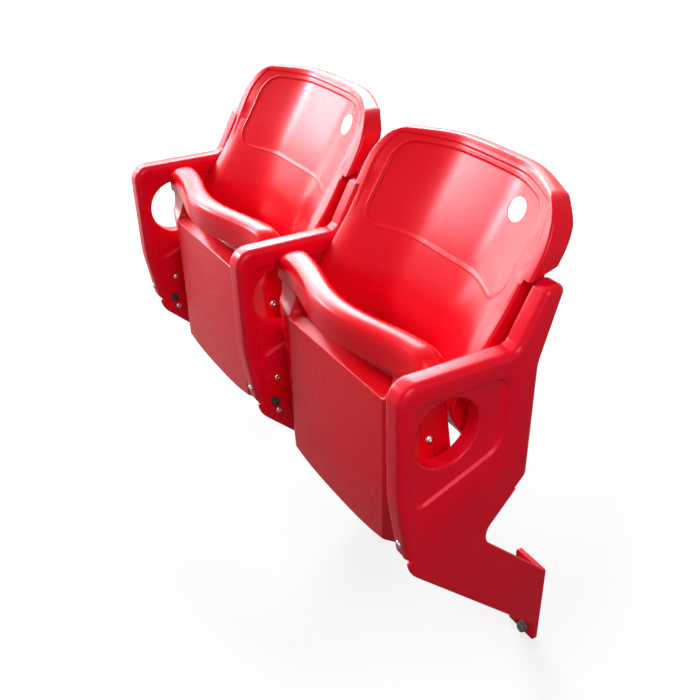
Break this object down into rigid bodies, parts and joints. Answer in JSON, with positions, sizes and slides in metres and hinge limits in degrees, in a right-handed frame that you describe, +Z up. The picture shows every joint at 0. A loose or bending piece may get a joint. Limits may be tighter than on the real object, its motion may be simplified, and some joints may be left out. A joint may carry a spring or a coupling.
{
  "type": "tip-up stadium seat unit",
  "caption": "Riser-mounted stadium seating: tip-up moulded seats and reclined shell backs carried between cast armed standards with round hand holes",
  "frame": {"origin": "on the riser face of the middle standard's flange, at the middle of its height and on the standard's middle plane", "axes": "+Z up, +Y into the riser, -Y the way the sitter faces, +X to the right as seen from the front"},
  "size_m": [1.067, 0.3754, 0.8141],
  "materials": {
    "standard_coat": "gloss red powder coat on a cast standard",
    "hinge_coat": "red powder coat on flat steel",
    "shell_plastic": "glossy moulded polypropylene, red through",
    "plate_plastic": "blank white oval plate",
    "zinc_steel": "bright zinc plate",
    "dark_steel": "dark phosphated steel",
    "rubber": "matt black rubber"
  },
  "bodies": {
    "frame": {"anchor_bolt_left_lower": "dark_steel", "anchor_bolt_left_upper": "dark_steel", "anchor_bolt_middle_lower": "dark_steel", "anchor_bolt_middle_upper": "dark_steel", "anchor_bolt_right_lower": "dark_steel", "anchor_bolt_right_upper": "dark_steel", "back_screw_left_inner": "zinc_steel", "back_screw_left_outer": "zinc_steel", "back_screw_right_inner": "zinc_steel", "back_screw_right_outer": "zinc_steel", "back_shell_left": "shell_plastic", "back_shell_right": "shell_plastic", "down_stop_left_inner": "rubber", "down_stop_left_outer": "rubber", "down_stop_right_inner": "rubber", "down_stop_right_outer": "rubber", "front_screw_left": "zinc_steel", "front_screw_middle": "zinc_steel", "front_screw_right": "zinc_steel", "hinge_plate_left_inner": "hinge_coat", "hinge_plate_left_outer": "hinge_coat", "hinge_plate_right_inner": "hinge_coat", "hinge_plate_right_outer": "hinge_coat", "hinge_screw_left_inner_lower": "zinc_steel", "hinge_screw_left_inner_upper": "zinc_steel", "hinge_screw_left_outer_lower": "zinc_steel", "hinge_screw_left_outer_upper": "zinc_steel", "hinge_screw_right_inner_lower": "zinc_steel", "hinge_screw_right_inner_upper": "zinc_steel", "hinge_screw_right_outer_lower": "zinc_steel", "hinge_screw_right_outer_upper": "zinc_steel", "number_plate_left": "plate_plastic", "number_plate_right": "plate_plastic", "pivot_pin_left_inner": "zinc_steel", "pivot_pin_left_outer": "zinc_steel", "pivot_pin_right_inner": "zinc_steel", "pivot_pin_right_outer": "zinc_steel", "standard_left": "standard_coat", "standard_middle": "standard_coat", "standard_right": "standard_coat", "up_stop_left_inner": "rubber", "up_stop_left_outer": "rubber", "up_stop_right_inner": "rubber", "up_stop_right_outer": "rubber"},
    "seat_left": {"arm_bolt_left_inner": "zinc_steel", "arm_bolt_left_outer": "zinc_steel", "hinge_arm_left_inner": "hinge_coat", "hinge_arm_left_outer": "hinge_coat", "seat_shell_left": "shell_plastic", "torsion_spring_left": "zinc_steel"},
    "seat_right": {"arm_bolt_right_inner": "zinc_steel", "arm_bolt_right_outer": "zinc_steel", "hinge_arm_right_inner": "hinge_coat", "hinge_arm_right_outer": "hinge_coat", "seat_shell_right": "shell_plastic", "torsion_spring_right": "zinc_steel"}
  },
  "joints": [
    {"name": "seat_left_hinge", "type": "hinge", "parent": "frame", "child": "seat_left", "pos_m": [-0.25, -0.207, 0.2565], "axis": [1, 0, 0], "range_deg": [0, 80], "stiffness_Nm_per_rad": 3, "springref_deg": -20.05},
    {"name": "seat_right_hinge", "type": "hinge", "parent": "frame", "child": "seat_right", "pos_m": [0.25, -0.207, 0.2565], "axis": [1, 0, 0], "range_deg": [0, 80], "stiffness_Nm_per_rad": 3, "springref_deg": -20.05}
  ]
}
